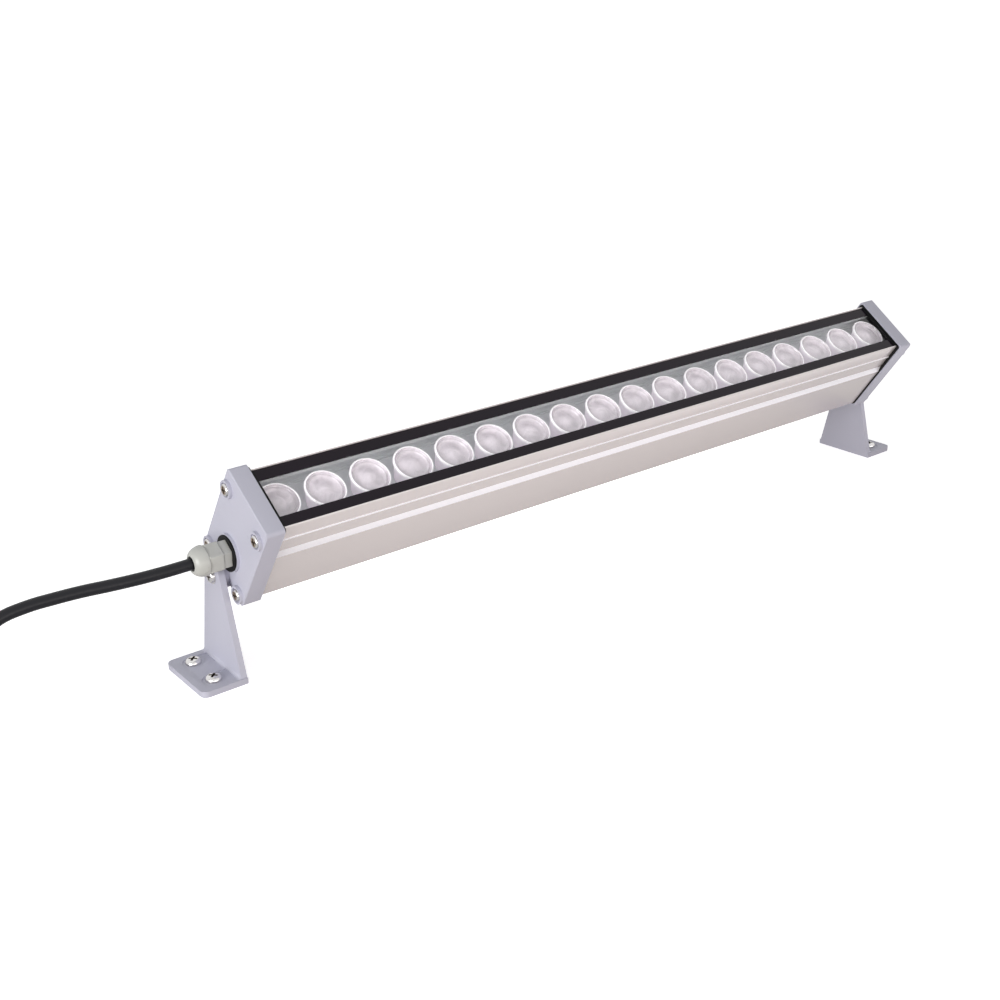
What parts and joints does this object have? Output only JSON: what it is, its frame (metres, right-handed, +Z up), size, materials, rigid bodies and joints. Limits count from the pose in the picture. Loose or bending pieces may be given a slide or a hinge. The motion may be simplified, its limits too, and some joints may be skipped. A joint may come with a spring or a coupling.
{
  "type": "wall washer light",
  "caption": "Long outdoor LED wall washer: extruded aluminium head with a row of lenses under glass, cast end caps, tilting on two L-shaped feet, with a supply cable.",
  "frame": {"origin": "on the mounting surface, under the middle of the light's box without its cable", "axes": "+X along the lamp, away from the cable's end; -Y to the side that the light shines to; +Z up, away from the mounting surface"},
  "size_m": [0.7555, 0.1264, 0.1169],
  "materials": {
    "casting_paint": "satin",
    "extrusion": "satin",
    "cover_glass": "clear",
    "seal_black": "semi-gloss",
    "board_white": "matte",
    "led_phosphor": "gloss",
    "lens_frost": "frosted",
    "driver_case": "matte",
    "lead_red": "matte",
    "screw_chrome": "polished",
    "gland_nylon": "satin",
    "cable_sheath": "matte",
    "tie_nylon": "satin",
    "core_insulation": "satin"
  },
  "bodies": {
    "left_foot": {"left_bracket": "casting_paint", "left_foot_screws": "screw_chrome", "cable": "cable_sheath", "cable_coil": "cable_sheath", "cable_ties": "tie_nylon", "cable_cores": "core_insulation"},
    "lamp_head": {"housing": "extrusion", "glass_cover": "cover_glass", "front_glass_seal": "seal_black", "rear_glass_seal": "seal_black", "led_board": "board_white", "led_chips": "led_phosphor", "driver": "driver_case", "driver_leads": "lead_red", "supply_lead": "cable_sheath", "left_end_cap": "casting_paint", "right_end_cap": "casting_paint", "left_gasket": "seal_black", "right_gasket": "seal_black", "left_cap_screws": "screw_chrome", "right_cap_screws": "screw_chrome", "gland_washer": "seal_black", "gland_body": "gland_nylon", "gland_seal": "seal_black", "gland_nut": "gland_nylon", "gland_locknut": "gland_nylon", "left_pivot_screw": "screw_chrome", "right_pivot_screw": "screw_chrome", "left_pivot_washer": "screw_chrome", "right_pivot_washer": "screw_chrome", "lens_01": "lens_frost", "lens_02": "lens_frost", "lens_03": "lens_frost", "lens_04": "lens_frost", "lens_05": "lens_frost", "lens_06": "lens_frost", "lens_07": "lens_frost", "lens_08": "lens_frost", "lens_09": "lens_frost", "lens_10": "lens_frost", "lens_11": "lens_frost", "lens_12": "lens_frost", "lens_13": "lens_frost", "lens_14": "lens_frost", "lens_15": "lens_frost", "lens_16": "lens_frost", "lens_17": "lens_frost", "lens_18": "lens_frost"},
    "right_foot": {"right_bracket": "casting_paint", "right_foot_screws": "screw_chrome"}
  },
  "joints": [
    {"name": "lamp_tilt", "type": "hinge", "parent": "left_foot", "child": "lamp_head", "pos_m": [-0.25395, 0.01521, 0.055], "axis": [1, 0, 0], "range_deg": [-120, 49]},
    {"name": "right_bracket_tilt", "type": "hinge", "parent": "lamp_head", "child": "right_foot", "pos_m": [0.25395, 0.01521, 0.055], "axis": [1, 0, 0], "range_deg": [-49, 120]}
  ],
  "couplings": [
    {"joint": "right_bracket_tilt", "follows": "lamp_tilt", "ratio": -1}
  ]
}
